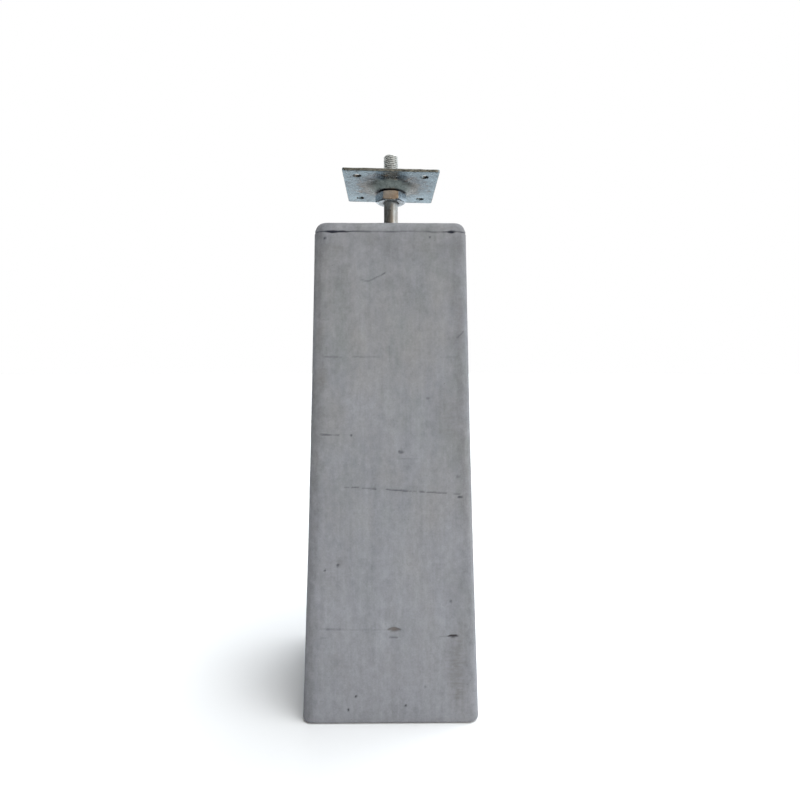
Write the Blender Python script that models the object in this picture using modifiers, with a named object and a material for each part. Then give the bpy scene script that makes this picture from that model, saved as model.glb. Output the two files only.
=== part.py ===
"""A precast concrete foundation pier with an adjustable bearing plate.

A tapered concrete block carries a cast-in steel rod on its axis. A hexagon nut on the
rod's thread carries a square plate whose middle is pressed down into a flat boss.
Units are metres, +Z is up, and the origin is the centre of the block's underside.
"""

import math

import bmesh
import bpy
from mathutils import Matrix

# Concrete block
BLOCK_HEIGHT = 0.500
BLOCK_FOOT_WIDTH = 0.180
BLOCK_HEAD_WIDTH = 0.150
BLOCK_CORNER_RADIUS = 0.010
BLOCK_HEAD_ROUNDING = 0.008
BLOCK_FOOT_ROUNDING = 0.003

# Rod, cast into the block and threaded at its upper end
ROD_THREAD_DIAMETER = 0.016
ROD_SHANK_DIAMETER = 0.0155
ROD_BURIED_LENGTH = 0.100
ROD_BARE_LENGTH = 0.039
ROD_THREAD_LENGTH = 0.051
ROD_END_CHAMFER = 0.0015
ROD_THREAD_RUNOUT = 0.001

# Nut
NUT_ACROSS_FLATS = 0.030
NUT_HEIGHT = 0.010
NUT_CHAMFER_ANGLE = math.radians(30)
NUT_FACE_INSET = 0.0006
NUT_COUNTERSINK = 0.0008

# Bearing plate
PLATE_WIDTH = 0.100
PLATE_THICKNESS = 0.003
PLATE_CORNER_RADIUS = 0.003
SCREW_HOLE_DIAMETER = 0.009
SCREW_HOLE_INSET = 0.015
ROD_HOLE_CLEARANCE = 0.00075

# Boss pressed down out of the plate
BOSS_DEPTH = 0.0064
BOSS_FLAT_RADIUS = 0.0160
BOSS_WALL_ANGLE = math.radians(40)
BOSS_FOOT_FILLET = 0.003
BOSS_RIM_FILLET = 0.012

# Gap kept between pieces that touch, and the reach of a cutter past what it cuts
CONTACT_GAP = 0.0003
CUT_OVERRUN = 0.004

# Facets
ROUND_SEGMENTS = 48
HOLE_SEGMENTS = 24
CORNER_SEGMENTS = 6
HEAD_ROUNDING_SEGMENTS = 5
FOOT_ROUNDING_SEGMENTS = 2
FILLET_SEGMENTS = 4
HEXAGON_SIDES = 6
MERGE_DISTANCE = 0.00001
SMOOTH_ANGLE = math.radians(35)

# Heights of what stands on what
NUT_BOTTOM_Z = BLOCK_HEIGHT + ROD_BARE_LENGTH + CONTACT_GAP
PLATE_BOTTOM_Z = NUT_BOTTOM_Z + NUT_HEIGHT + CONTACT_GAP + BOSS_DEPTH


def clear_scene():
    """Removes every object that the scene holds."""
    for obj in list(bpy.data.objects):
        bpy.data.objects.remove(obj, do_unlink=True)


def new_collection(name):
    collection = bpy.data.collections.new(name)
    bpy.context.scene.collection.children.link(collection)
    return collection


def new_material(name, colour, roughness, metallic):
    material = bpy.data.materials.new(name)
    material.use_nodes = True
    shader = material.node_tree.nodes["Principled BSDF"]
    shader.inputs["Base Color"].default_value = (*colour, 1.0)
    shader.inputs["Roughness"].default_value = roughness
    shader.inputs["Metallic"].default_value = metallic
    return material


def new_object(name, mesh, collection, material=None):
    obj = bpy.data.objects.new(name, mesh)
    collection.objects.link(obj)
    if material is not None:
        mesh.materials.append(material)
    return obj


def new_axis(name, height, collection):
    """An empty on the rod's axis, which carries what moves along or about it."""
    empty = bpy.data.objects.new(name, None)
    empty.location.z = height
    collection.objects.link(empty)
    return empty


def object_from(bm, name, collection, material=None):
    """Turns a bmesh into an object with smooth faces and sharp edges."""
    mesh = bpy.data.meshes.new(name)
    bm.to_mesh(mesh)
    bm.free()
    mesh.shade_smooth()
    mesh.set_sharp_from_angle(angle=SMOOTH_ANGLE)
    return new_object(name, mesh, collection, material)


def turned(name, profile, segments, collection, material=None):
    """A body turned about Z. The profile's (radius, height) points run down its outer side."""
    mesh = bpy.data.meshes.new(name)
    edges = [(i, i + 1) for i in range(len(profile) - 1)]
    mesh.from_pydata([(radius, 0.0, z) for radius, z in profile], edges, [])
    obj = new_object(name, mesh, collection, material)
    screw = obj.modifiers.new("Turn", "SCREW")
    screw.axis = "Z"
    screw.steps = segments
    screw.render_steps = segments
    screw.use_merge_vertices = True
    screw.merge_threshold = MERGE_DISTANCE
    screw.use_smooth_shade = True
    return obj


def apply_cutter(piece, cutter, operation="DIFFERENCE"):
    """Cuts the piece with a cutter that is made in the piece's own frame."""
    cutter.parent = piece
    cutter.hide_render = True
    cutter.display_type = "WIRE"
    boolean = piece.modifiers.new(cutter.name, "BOOLEAN")
    boolean.operation = operation
    boolean.object = cutter
    boolean.solver = "EXACT"


def bevel_edges(bm, edges, radius, segments):
    bmesh.ops.bevel(
        bm,
        geom=edges,
        offset=radius,
        offset_type="OFFSET",
        segments=segments,
        profile=0.5,
        affect="EDGES",
        clamp_overlap=True,
    )


def upright_edges(bm):
    return [edge for edge in bm.edges if edge.verts[0].co.z != edge.verts[1].co.z]


def outline_edges(bm, height):
    """The edges of the flat face that lies at the given height."""
    return [edge for edge in bm.edges if all(abs(vert.co.z - height) < MERGE_DISTANCE for vert in edge.verts)]


def rounded_slab(width, bottom, top, corner_radius):
    """A square slab from one height to another, with rounded upright edges, as a bmesh."""
    bm = bmesh.new()
    bmesh.ops.create_cube(bm, size=1.0)
    bmesh.ops.scale(bm, vec=(width, width, top - bottom), verts=bm.verts)
    bmesh.ops.translate(bm, vec=(0.0, 0.0, (top + bottom) / 2), verts=bm.verts)
    bevel_edges(bm, upright_edges(bm), corner_radius, CORNER_SEGMENTS)
    return bm


def narrow_head(bm, narrowing, height):
    """Moves the points at the given height inwards, which keeps their corner radius."""
    for vert in bm.verts:
        if abs(vert.co.z - height) < MERGE_DISTANCE:
            vert.co.x -= math.copysign(narrowing, vert.co.x)
            vert.co.y -= math.copysign(narrowing, vert.co.y)


def rod_socket(collection):
    """The hole that the rod is cast into."""
    radius = ROD_SHANK_DIAMETER / 2 + CONTACT_GAP
    top = BLOCK_HEIGHT + CUT_OVERRUN
    bottom = BLOCK_HEIGHT - ROD_BURIED_LENGTH - CONTACT_GAP
    profile = [(0.0, top), (radius, top), (radius, bottom), (0.0, bottom)]
    return turned("rod_socket_cutter", profile, ROUND_SEGMENTS, collection)


def make_block(parts, cutters, material):
    """The tapered block, with rounded corners and a larger rounding at its head."""
    bm = rounded_slab(BLOCK_FOOT_WIDTH, 0.0, BLOCK_HEIGHT, BLOCK_CORNER_RADIUS)
    narrow_head(bm, (BLOCK_FOOT_WIDTH - BLOCK_HEAD_WIDTH) / 2, BLOCK_HEIGHT)
    bevel_edges(bm, outline_edges(bm, BLOCK_HEIGHT), BLOCK_HEAD_ROUNDING, HEAD_ROUNDING_SEGMENTS)
    bevel_edges(bm, outline_edges(bm, 0.0), BLOCK_FOOT_ROUNDING, FOOT_ROUNDING_SEGMENTS)
    block = object_from(bm, "concrete_block", parts, material)
    apply_cutter(block, rod_socket(cutters))
    return block


def make_rod(parts, material):
    """The rod: a chamfered threaded end above a shank of the thread's pitch diameter."""
    thread_radius = ROD_THREAD_DIAMETER / 2
    shank_radius = ROD_SHANK_DIAMETER / 2
    top = ROD_BARE_LENGTH + ROD_THREAD_LENGTH
    profile = [
        (0.0, top),
        (thread_radius - ROD_END_CHAMFER, top),
        (thread_radius, top - ROD_END_CHAMFER),
        (thread_radius, ROD_BARE_LENGTH + ROD_THREAD_RUNOUT),
        (shank_radius, ROD_BARE_LENGTH),
        (shank_radius, -ROD_BURIED_LENGTH),
        (0.0, -ROD_BURIED_LENGTH),
    ]
    rod = turned("threaded_rod", profile, ROUND_SEGMENTS, parts, material)
    rod.location.z = BLOCK_HEIGHT
    return rod


def nut_chamfers(corner_radius, collection):
    """A disc with coned faces, which leaves the nut's corners chamfered where they meet."""
    face_radius = NUT_ACROSS_FLATS / 2 - NUT_FACE_INSET
    slope = math.tan(NUT_CHAMFER_ANGLE)
    inner = face_radius - CUT_OVERRUN
    outer = corner_radius + CUT_OVERRUN
    rise = CUT_OVERRUN * slope
    drop = (outer - face_radius) * slope
    profile = [
        (0.0, NUT_HEIGHT + rise),
        (inner, NUT_HEIGHT + rise),
        (outer, NUT_HEIGHT - drop),
        (outer, drop),
        (inner, -rise),
        (0.0, -rise),
    ]
    return turned("nut_chamfer_cutter", profile, ROUND_SEGMENTS, collection)


def nut_bore(collection):
    """The nut's bore, clear of the rod's thread and countersunk at both faces."""
    bore = ROD_THREAD_DIAMETER / 2 + CONTACT_GAP
    mouth = bore + NUT_COUNTERSINK + CUT_OVERRUN
    profile = [
        (0.0, NUT_HEIGHT + CUT_OVERRUN),
        (mouth, NUT_HEIGHT + CUT_OVERRUN),
        (bore, NUT_HEIGHT - NUT_COUNTERSINK),
        (bore, NUT_COUNTERSINK),
        (mouth, -CUT_OVERRUN),
        (0.0, -CUT_OVERRUN),
    ]
    return turned("nut_bore_cutter", profile, ROUND_SEGMENTS, collection)


def make_nut(axis, parts, cutters, material):
    """The hexagon nut, with one flat towards -Y."""
    bm = bmesh.new()
    corner_radius = NUT_ACROSS_FLATS / math.sqrt(3)
    half_side_turn = Matrix.Rotation(math.pi / HEXAGON_SIDES, 4, "Z")
    bmesh.ops.create_cone(
        bm,
        cap_ends=True,
        segments=HEXAGON_SIDES,
        radius1=corner_radius,
        radius2=corner_radius,
        depth=NUT_HEIGHT,
        matrix=Matrix.Translation((0.0, 0.0, NUT_HEIGHT / 2)) @ half_side_turn,
    )
    nut = object_from(bm, "adjusting_nut", parts, material)
    nut.parent = axis
    apply_cutter(nut, nut_chamfers(corner_radius, cutters), "INTERSECT")
    apply_cutter(nut, nut_bore(cutters))
    return nut


def arc_points(centre, radius, start, end):
    """The points of an arc in the profile plane, with its angles from +X."""
    steps = range(FILLET_SEGMENTS + 1)
    angles = [start + (end - start) * step / FILLET_SEGMENTS for step in steps]
    return [(centre[0] + radius * math.cos(a), centre[1] + radius * math.sin(a)) for a in angles]


def boss_profile(plane):
    """The pressed form from its flat bottom out to its rim, for the plate face at this height."""
    sine = math.sin(BOSS_WALL_ANGLE)
    cosine = math.cos(BOSS_WALL_ANGLE)
    bottom = plane - BOSS_DEPTH
    fillet_drop = (BOSS_FOOT_FILLET + BOSS_RIM_FILLET) * (1.0 - cosine)
    wall_run = (BOSS_DEPTH - fillet_drop) / math.tan(BOSS_WALL_ANGLE)
    rim_radius = BOSS_FLAT_RADIUS + (BOSS_FOOT_FILLET + BOSS_RIM_FILLET) * sine + wall_run
    foot_centre = (BOSS_FLAT_RADIUS, bottom + BOSS_FOOT_FILLET)
    rim_centre = (rim_radius, plane - BOSS_RIM_FILLET)
    down = -math.pi / 2
    up = math.pi / 2
    foot_arc = arc_points(foot_centre, BOSS_FOOT_FILLET, down, down + BOSS_WALL_ANGLE)
    rim_arc = arc_points(rim_centre, BOSS_RIM_FILLET, up + BOSS_WALL_ANGLE, up)
    return foot_arc + rim_arc


def turn_half_a_facet(cutter):
    """Keeps the edges of a turned cutter off the corners of the square that it cuts."""
    cutter.rotation_euler.z = math.pi / ROUND_SEGMENTS
    return cutter


def plate_underside(reach, collection):
    """What is cut away below the plate and round its boss."""
    floor = -BOSS_DEPTH - 2 * CUT_OVERRUN
    profile = [(0.0, -BOSS_DEPTH)] + boss_profile(0.0)
    profile += [(reach, 0.0), (reach, floor), (0.0, floor)]
    return turn_half_a_facet(turned("plate_underside_cutter", profile, ROUND_SEGMENTS, collection))


def plate_upper_side(reach, collection):
    """What is cut away above the plate and out of its dish."""
    ceiling = PLATE_THICKNESS + 2 * CUT_OVERRUN
    profile = [(0.0, ceiling), (reach, ceiling), (reach, PLATE_THICKNESS)]
    profile += reversed(boss_profile(PLATE_THICKNESS))
    profile.append((0.0, PLATE_THICKNESS - BOSS_DEPTH))
    return turn_half_a_facet(turned("plate_upper_side_cutter", profile, ROUND_SEGMENTS, collection))


def plate_hole(name, radius, place, segments, collection):
    """A drilled hole through the plate at the given place."""
    top = PLATE_THICKNESS + CUT_OVERRUN
    bottom = -BOSS_DEPTH - CUT_OVERRUN
    profile = [(0.0, top), (radius, top), (radius, bottom), (0.0, bottom)]
    hole = turned(name, profile, segments, collection)
    hole.location = (*place, 0.0)
    return hole


def make_plate(axis, parts, cutters, material):
    """The square plate with its pressed boss, the rod's hole and four screw holes."""
    bottom = -BOSS_DEPTH - CUT_OVERRUN
    top = PLATE_THICKNESS + CUT_OVERRUN
    slab = rounded_slab(PLATE_WIDTH, bottom, top, PLATE_CORNER_RADIUS)
    plate = object_from(slab, "bearing_plate", parts, material)
    plate.parent = axis
    plate.location.z = PLATE_BOTTOM_Z - axis.location.z
    reach = PLATE_WIDTH / math.sqrt(2) + CUT_OVERRUN
    apply_cutter(plate, plate_underside(reach, cutters))
    apply_cutter(plate, plate_upper_side(reach, cutters))
    rod_hole_radius = ROD_THREAD_DIAMETER / 2 + ROD_HOLE_CLEARANCE
    apply_cutter(plate, plate_hole("rod_hole_cutter", rod_hole_radius, (0.0, 0.0), ROUND_SEGMENTS, cutters))
    offset = PLATE_WIDTH / 2 - SCREW_HOLE_INSET
    for side in (-1, 1):
        for end in (-1, 1):
            name = f"screw_hole_cutter_{'left' if side < 0 else 'right'}_{'front' if end < 0 else 'back'}"
            place = (side * offset, end * offset)
            apply_cutter(plate, plate_hole(name, SCREW_HOLE_DIAMETER / 2, place, HOLE_SEGMENTS, cutters))
    return plate


def main():
    clear_scene()
    parts = new_collection("foundation_pier")
    cutters = new_collection("cutters")
    concrete = new_material("concrete", (0.28, 0.285, 0.30), 0.9, 0.0)
    bare_steel = new_material("bare_steel", (0.30, 0.28, 0.26), 0.45, 1.0)
    zinc = new_material("zinc_plating", (0.30, 0.36, 0.42), 0.4, 1.0)
    screw_axis = new_axis("screw_axis", NUT_BOTTOM_Z, parts)
    make_block(parts, cutters, concrete)
    make_rod(parts, bare_steel)
    make_nut(screw_axis, parts, cutters, zinc)
    make_plate(screw_axis, parts, cutters, zinc)


main()
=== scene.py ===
import itertools
import math

import bpy
import numpy as np
from mathutils import Matrix, Vector


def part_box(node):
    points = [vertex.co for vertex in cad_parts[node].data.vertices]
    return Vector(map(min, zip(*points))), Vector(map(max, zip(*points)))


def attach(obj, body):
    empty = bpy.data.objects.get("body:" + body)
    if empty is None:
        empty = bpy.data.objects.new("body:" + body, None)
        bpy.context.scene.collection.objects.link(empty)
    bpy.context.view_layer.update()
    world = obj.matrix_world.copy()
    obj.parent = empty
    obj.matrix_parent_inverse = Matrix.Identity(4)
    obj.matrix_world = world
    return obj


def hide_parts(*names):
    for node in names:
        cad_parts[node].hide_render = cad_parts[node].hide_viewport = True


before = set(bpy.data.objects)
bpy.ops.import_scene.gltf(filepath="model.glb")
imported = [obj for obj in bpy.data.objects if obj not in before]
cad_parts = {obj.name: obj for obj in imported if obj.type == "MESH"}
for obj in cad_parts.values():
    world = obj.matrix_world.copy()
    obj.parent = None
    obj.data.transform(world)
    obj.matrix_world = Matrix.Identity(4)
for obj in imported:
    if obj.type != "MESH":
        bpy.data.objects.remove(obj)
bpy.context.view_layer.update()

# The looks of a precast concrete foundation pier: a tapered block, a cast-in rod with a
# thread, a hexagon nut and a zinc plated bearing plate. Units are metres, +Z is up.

MM = 0.001
_, BLOCK_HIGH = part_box("concrete_block")
ROD_LOW, ROD_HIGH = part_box("threaded_rod")
NUT_LOW, NUT_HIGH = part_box("adjusting_nut")
PLATE_LOW, PLATE_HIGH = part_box("bearing_plate")

# Block
BLOCK_TOP = BLOCK_HIGH.z
BLOCK_FOOT_HALF = 90 * MM
BLOCK_HEAD_HALF = 75 * MM
BLOCK_CORNER_REACH = 14 * MM
CORNER_FULLNESS = 2.7
HEAD_ROUNDING = 12 * MM
HEAD_INSET = 8.5 * MM
HEAD_CORNER_REACH = 7 * MM
SIDE_HOLLOW = 0.9 * MM
FOOT_ROUNDING = 3 * MM
SEAM_Z = BLOCK_TOP - HEAD_ROUNDING
SEAM_GROOVE_Z = BLOCK_TOP - 10.6 * MM
SOCKET_RADIUS = 8.05 * MM
SOCKET_BOTTOM = ROD_LOW.z - 0.3 * MM

# Rod
THREAD_RADIUS = (ROD_HIGH.x - ROD_LOW.x) / 2
THREAD_PITCH = 2 * MM
THREAD_DEPTH = 0.6134 * THREAD_PITCH
THREAD_START = NUT_LOW.z - 0.3 * MM
SHANK_RADIUS = 7.75 * MM
ROD_CHAMFER = 1.5 * MM
ROD_WEAR = 0.05 * MM
ROD_COLUMNS = 72
SHANK_ROWS = 60
THREAD_ROWS = 350
THREAD_RUNOUT = 2.2 * MM
# Shares of half a pitch that the thread's crest and its flank take
THREAD_CREST = 0.10
THREAD_FLANK = 0.78
# Darkness of the painted shadow band just under the nut
UNDER_NUT_SHADOW_STRENGTH = 0.35

# Nut
NUT_HALF_FLATS = (NUT_HIGH.y - NUT_LOW.y) / 2
NUT_BORE_RADIUS = 8.3 * MM
NUT_CENTRE_Z = (NUT_LOW.z + NUT_HIGH.z) / 2
NUT_CORNER_RADIUS = 0.5 * MM
NUT_LAND_RADIUS = NUT_HALF_FLATS - 0.5 * MM
NUT_CHAMFER_ANGLE = math.radians(30)
NUT_MOUTH = 0.8 * MM
NUT_GROOVE = 0.5 * MM
NUT_TURN = math.radians(-3)

# Plate
PLATE_HALF = PLATE_HIGH.x
PLATE_THICKNESS = 3 * MM
PLATE_CORNER_RADIUS = 3 * MM
PLATE_EDGE_ROUNDING = 0.5 * MM
PLATE_TOP = PLATE_HIGH.z
BOSS_DEPTH = PLATE_HIGH.z - PLATE_LOW.z - PLATE_THICKNESS
BOSS_INNER_RADIUS = 12 * MM
BOSS_FLAT_RADIUS = 16 * MM
BOSS_WALL_ANGLE = math.radians(40)
BOSS_FOOT_FILLET = 3 * MM
BOSS_RIM_FILLET = 12 * MM
ROD_HOLE_RADIUS = 8.75 * MM
SCREW_HOLE_RADIUS = 4.5 * MM
SCREW_HOLE_OFFSET = 35 * MM
SCREW_HOLE_ROLL = 0.35 * MM
SCREW_HOLE_COLUMNS = 48
CUTTER_REACH = 1 * MM
# Shares of the way from the dish to the plate's outline where its flat has rows of points
PLATE_SPREAD = (0.25, 0.5, 0.75, 0.92)
# How the plate sits in the photograph, within the clearance of its hole
PLATE_TILT = math.radians(0.7)
PLATE_YAW = math.radians(1.1)
PLATE_SHIFT = -0.5 * MM


# Noise and shaping on arrays of points


def lattice_noise(points, size, seed):
    """Smooth noise from -1 to 1 at each point. size is its lumps' width, one or one per axis."""
    scaled = points / np.asarray(size)
    cell = np.floor(scaled).astype(np.int64)
    part = scaled - cell
    part = part * part * (3 - 2 * part)
    total = np.zeros(len(points))
    for corner in itertools.product((0, 1), repeat=3):
        place = cell + np.array(corner)
        x, y, z = place.T
        mixed = x * 73856093 ^ y * 19349663 ^ z * 83492791 ^ seed * 40503
        mixed = (mixed ^ (mixed >> 13)) * 1274126177 & 0xFFFFFFFF
        value = ((mixed >> 8) & 0xFFFF) / 32767.5 - 1
        weight = np.prod(np.where(np.array(corner) == 1, part, 1 - part), axis=1)
        total += weight * value
    return total


def layered_noise(points, size, seed, layers=3):
    """Noise with finer layers added, each half as wide and half as strong."""
    size = np.asarray(size, float)
    shares = [0.5**layer for layer in range(layers)]
    parts = [
        share * lattice_noise(points, size * share, seed + number)
        for number, share in enumerate(shares)
    ]
    return sum(parts) / sum(shares)


def smoothstep(low, high, value):
    part = np.clip((value - low) / (high - low), 0, 1)
    return part * part * (3 - 2 * part)


def mesh_object(name, points, faces, material):
    """A smooth-shaded mesh object in the row's frame."""
    mesh = bpy.data.meshes.new(name)
    mesh.from_pydata(points.tolist(), [], faces)
    mesh.update()
    mesh.shade_smooth()
    mesh.materials.append(material)
    obj = bpy.data.objects.new(name, mesh)
    bpy.context.scene.collection.objects.link(obj)
    return obj


def grid_faces(rows, columns, close_rows=False):
    """Quads between rows of points that run round the piece. They face out where rows climb."""
    faces = []
    for row in range(rows if close_rows else rows - 1):
        low = row * columns
        high = (row + 1) % rows * columns
        for column in range(columns):
            after = (column + 1) % columns
            faces.append((low + column, low + after, high + after, high + column))
    return faces


def capped_faces(rows, columns):
    """The same quads, with the first and last row closed."""
    faces = grid_faces(rows, columns)
    faces.append(tuple(reversed(range(columns))))
    faces.append(tuple(range((rows - 1) * columns, rows * columns)))
    return faces


def grid_normals(grid):
    """Outward unit normals of a (row, column, xyz) grid whose columns close on themselves."""
    along = np.roll(grid, -1, axis=1) - np.roll(grid, 1, axis=1)
    up = np.gradient(grid, axis=0)
    normals = np.cross(along, up)
    lengths = np.linalg.norm(normals, axis=2, keepdims=True)
    return normals / np.maximum(lengths, 1e-12)


def level_row(flat, height):
    """A row of points at one height, from their places across."""
    return np.column_stack([flat, np.full(len(flat), height)])


def blended_ring(outline, radius, share):
    """Points between a circle, where share is 0, and the outline round it, where share is 1."""
    reach = np.linalg.norm(outline, axis=1, keepdims=True)
    return outline / reach * (radius * (1 - share) + reach * share)


def store(obj, name, values):
    """Keeps one number per point on the mesh, for its material to read."""
    attribute = obj.data.attributes.new(name, "FLOAT", "POINT")
    attribute.data.foreach_set("value", np.asarray(values, np.float32).ravel())


# Concrete block: marks on its faces, in millimetres across the face and above the ground

# Thin cracks and mould lines: start, end, half height, depth, darkness of the painted shade in them
FRONT_LINES = [
    ((-29.5, 443.0), (-22.0, 441.2), 0.50, 0.15, 0.38),
    ((-22.0, 441.2), (-9.0, 447.2), 0.50, 0.15, 0.40),
    ((-9.0, 447.2), (-5.4, 449.4), 0.60, 0.25, 0.70),
    ((-66.5, 403.8), (-60.5, 404.2), 0.50, 0.10, 0.30),
    ((64.9, 385.5), (71.8, 392.4), 0.55, 0.20, 0.45),
    ((-64.5, 367.2), (-48.4, 367.3), 1.00, 0.12, 0.34),
    ((-37.7, 367.6), (-31.0, 367.6), 0.50, 0.10, 0.30),
    ((-30.0, 367.4), (-11.4, 367.6), 0.70, 0.10, 0.24),
    ((49.3, 367.5), (64.0, 367.3), 0.80, 0.08, 0.18),
    ((-1.4, 378.5), (-1.2, 363.0), 0.60, 0.08, 0.26),
    ((-69.3, 291.4), (-60.5, 290.9), 0.50, 0.35, 0.80),
    ((-60.5, 290.6), (-51.0, 290.4), 0.50, 0.25, 0.60),
    ((-46.0, 290.2), (-39.0, 290.4), 0.45, 0.10, 0.25),
    ((8.1, 267.1), (26.8, 266.9), 0.60, 0.08, 0.20),
    ((-70.4, 96.6), (-64.0, 96.4), 0.50, 0.10, 0.28),
    ((-63.5, 96.3), (-47.0, 96.1), 0.60, 0.20, 0.52),
    ((-46.0, 96.0), (-4.0, 95.8), 0.45, 0.08, 0.22),
    ((-0.8, 88.1), (6.6, 87.9), 0.75, 0.30, 0.50),
    ((-70.0, 87.8), (-63.0, 87.6), 0.50, 0.10, 0.25),
    ((48.5, 88.6), (57.5, 88.5), 0.45, 0.10, 0.30),
]
# One long shrinkage crack: where it starts and how it slopes
LONG_CRACK_START = (-45.8, 239.0)
LONG_CRACK_SLOPE = -0.0626
LONG_CRACK_DEPTH = 0.40
# Its dashes: start and end across the face, half height, darkness of the painted shade in them
LONG_CRACK_DASHES = [
    (-46.0, -41.5, 0.55, 0.60),
    (-38.6, -32.0, 0.50, 0.55),
    (-27.9, -14.4, 0.55, 0.75),
    (-4.1, 6.4, 0.50, 0.70),
    (6.6, 17.2, 0.55, 0.65),
    (18.4, 20.6, 0.60, 0.45),
    (23.0, 25.0, 0.60, 0.45),
    (29.2, 33.6, 0.65, 0.55),
    (36.0, 44.0, 0.60, 0.60),
    (44.0, 55.2, 0.65, 0.60),
    (63.2, 69.2, 0.60, 0.45),
]
# Blowholes: place, half width, half height, depth, darkness of the painted shade in them
FRONT_PITS = [
    ((-64.0, 482.9), 0.7, 1.3, 0.8, 0.75),
    ((38.7, 484.0), 1.0, 0.9, 0.7, 0.65),
    ((-39.0, 290.4), 0.9, 0.9, 0.7, 0.70),
    ((10.6, 273.4), 2.4, 1.4, 0.6, 0.52),
    ((8.9, 274.2), 1.1, 0.9, 0.6, 0.60),
    ((68.9, 228.7), 2.4, 1.1, 0.8, 0.70),
    ((66.5, 249.0), 1.6, 1.3, 0.4, 0.35),
    ((37.0, 327.0), 1.8, 1.2, 0.3, 0.28),
    ((-52.5, 160.5), 1.1, 1.5, 0.8, 0.62),
    ((-65.3, 155.3), 0.9, 0.9, 0.7, 0.72),
    ((60.4, 124.0), 1.2, 1.4, 0.6, 0.45),
    ((34.5, 37.3), 1.3, 1.2, 0.5, 0.40),
    ((-35.0, 27.9), 1.1, 1.0, 1.0, 0.85),
    ((-42.8, 14.3), 1.1, 1.2, 1.0, 0.88),
    ((15.0, 18.0), 1.0, 1.1, 0.9, 0.80),
]
# Larger voids with a flat lower lip: centre, half width, height above and below, depth, darkness
# of the painted shade in them, brownness of that shade
FRONT_VOIDS = [
    ((3.4, 95.6), 6.9, 2.7, 1.6, 1.3, 0.66, 1.0),
    ((62.4, 89.0), 6.0, 1.35, 1.6, 1.4, 0.92, 0.3),
]
# Soft stains: centre, half width, half height, strength
FRONT_STAINS = [
    ((60.0, 306.0), 14.0, 26.0, 0.30),
    ((-67.0, 347.0), 5.0, 10.0, 0.45),
    ((-68.5, 388.0), 3.5, 14.0, 0.30),
    ((69.0, 400.0), 3.5, 24.0, 0.40),
    ((62.0, 420.0), 10.0, 30.0, 0.14),
    ((-52.5, 472.0), 12.0, 6.0, 0.28),
    ((-45.0, 469.5), 3.5, 2.5, 0.35),
    ((53.0, 458.0), 4.5, 3.0, 0.32),
    ((10.0, 476.0), 48.0, 13.0, 0.20),
    ((60.0, 477.0), 14.0, 22.0, 0.18),
    ((66.0, 55.0), 9.0, 34.0, 0.55),
    ((66.5, 30.0), 2.6, 11.0, 0.65),
    ((72.0, 45.0), 1.6, 30.0, 0.40),
    ((-51.0, 163.0), 7.0, 7.0, 0.35),
    ((-62.0, 150.0), 10.0, 24.0, 0.22),
    ((66.0, 135.0), 10.0, 22.0, 0.20),
    ((-50.0, 235.0), 22.0, 18.0, 0.10),
    ((30.0, 60.0), 30.0, 20.0, 0.12),
    ((-55.0, 63.0), 12.0, 10.0, 0.20),
]
# Stretches of painted shade in the seam under the head: centre, half width, half height, darkness
FRONT_SEAM_VOIDS = [
    (-69.0, 6.0, 0.40, 0.70),
    (-56.5, 9.0, 1.45, 0.97),
    (-48.5, 10.0, 0.95, 0.92),
    (-38.0, 9.0, 0.35, 0.70),
    (-14.0, 7.0, 0.30, 0.40),
    (14.0, 18.0, 0.28, 0.42),
    (55.0, 6.5, 0.40, 0.80),
    (59.5, 4.5, 1.45, 0.95),
    (70.0, 5.0, 0.45, 0.75),
]

# The block's rows and columns of points. The rows are set closer within reach of a mark.
MARK_REACH = 1.6
ROW_CROWDING = 6.0
SIDE_ROWS = 186
FRONT_COLUMNS = 128
SIDE_COLUMNS = 70
CORNER_COLUMNS = 16
SOCKET_ROWS = (BLOCK_TOP - 4 * MM, BLOCK_TOP - 20 * MM, SOCKET_BOTTOM)
# The head's first bend, in radians, has closer rows than the rest of its rounding, for the seam
SEAM_BEND = 0.30
# How squarely a point has to face a side for that side's marks to start there and to be full
FACE_FADE = (0.45, 0.75)


def line_strength(u, v, start, end, half):
    """1 on the line between two points, falling to 0 a little past half its height."""
    start = np.array(start)
    run = np.array(end) - start
    along = np.clip(((u - start[0]) * run[0] + (v - start[1]) * run[1]) / (run @ run), 0, 1)
    distance = np.hypot(u - start[0] - along * run[0], v - start[1] - along * run[1])
    return 1 - smoothstep(half * 0.4, half * 1.7, distance)


def spot_strength(u, v, centre, half_width, half_height, edge=0.5, roundness=2.0):
    """1 inside a spot and 0 outside. edge is the share that fades, a low roundness points it."""
    across = np.abs((u - centre[0]) / half_width) ** roundness
    reach = (across + np.abs((v - centre[1]) / half_height) ** roundness) ** (1 / roundness)
    return 1 - smoothstep(1 - edge, 1 + edge, reach)


def long_crack_lines():
    """The dashes of the long crack as lines like the others."""
    left, level = LONG_CRACK_START
    lines = []
    for start, end, half, dark in LONG_CRACK_DASHES:
        first, last = ((u, level + LONG_CRACK_SLOPE * (u - left)) for u in (start, end))
        lines.append((first, last, half, LONG_CRACK_DEPTH, dark))
    return lines


def marks_of_face(face):
    """The marks of one face. The three hidden in the photograph have some of the front's, moved."""
    lines = FRONT_LINES + long_crack_lines()
    marks = {"lines": lines, "pits": FRONT_PITS, "voids": FRONT_VOIDS, "stains": FRONT_STAINS}
    if face == 0:
        return marks
    turned = {}
    for kind, rows in marks.items():
        kept = [row for number, row in enumerate(rows) if (number + face) % 3]
        turned[kind] = [tuple(moved_mark(part, face) for part in row) for row in kept]
    return turned


def moved_mark(part, face):
    """A place on the front moved across to where another face has it. Numbers stay as they are."""
    if not isinstance(part, tuple):
        return part
    across = -part[0] if face % 2 else part[0]
    return (across * 0.93 + (0, 3.0, -2.5, 1.5)[face], part[1])


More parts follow.
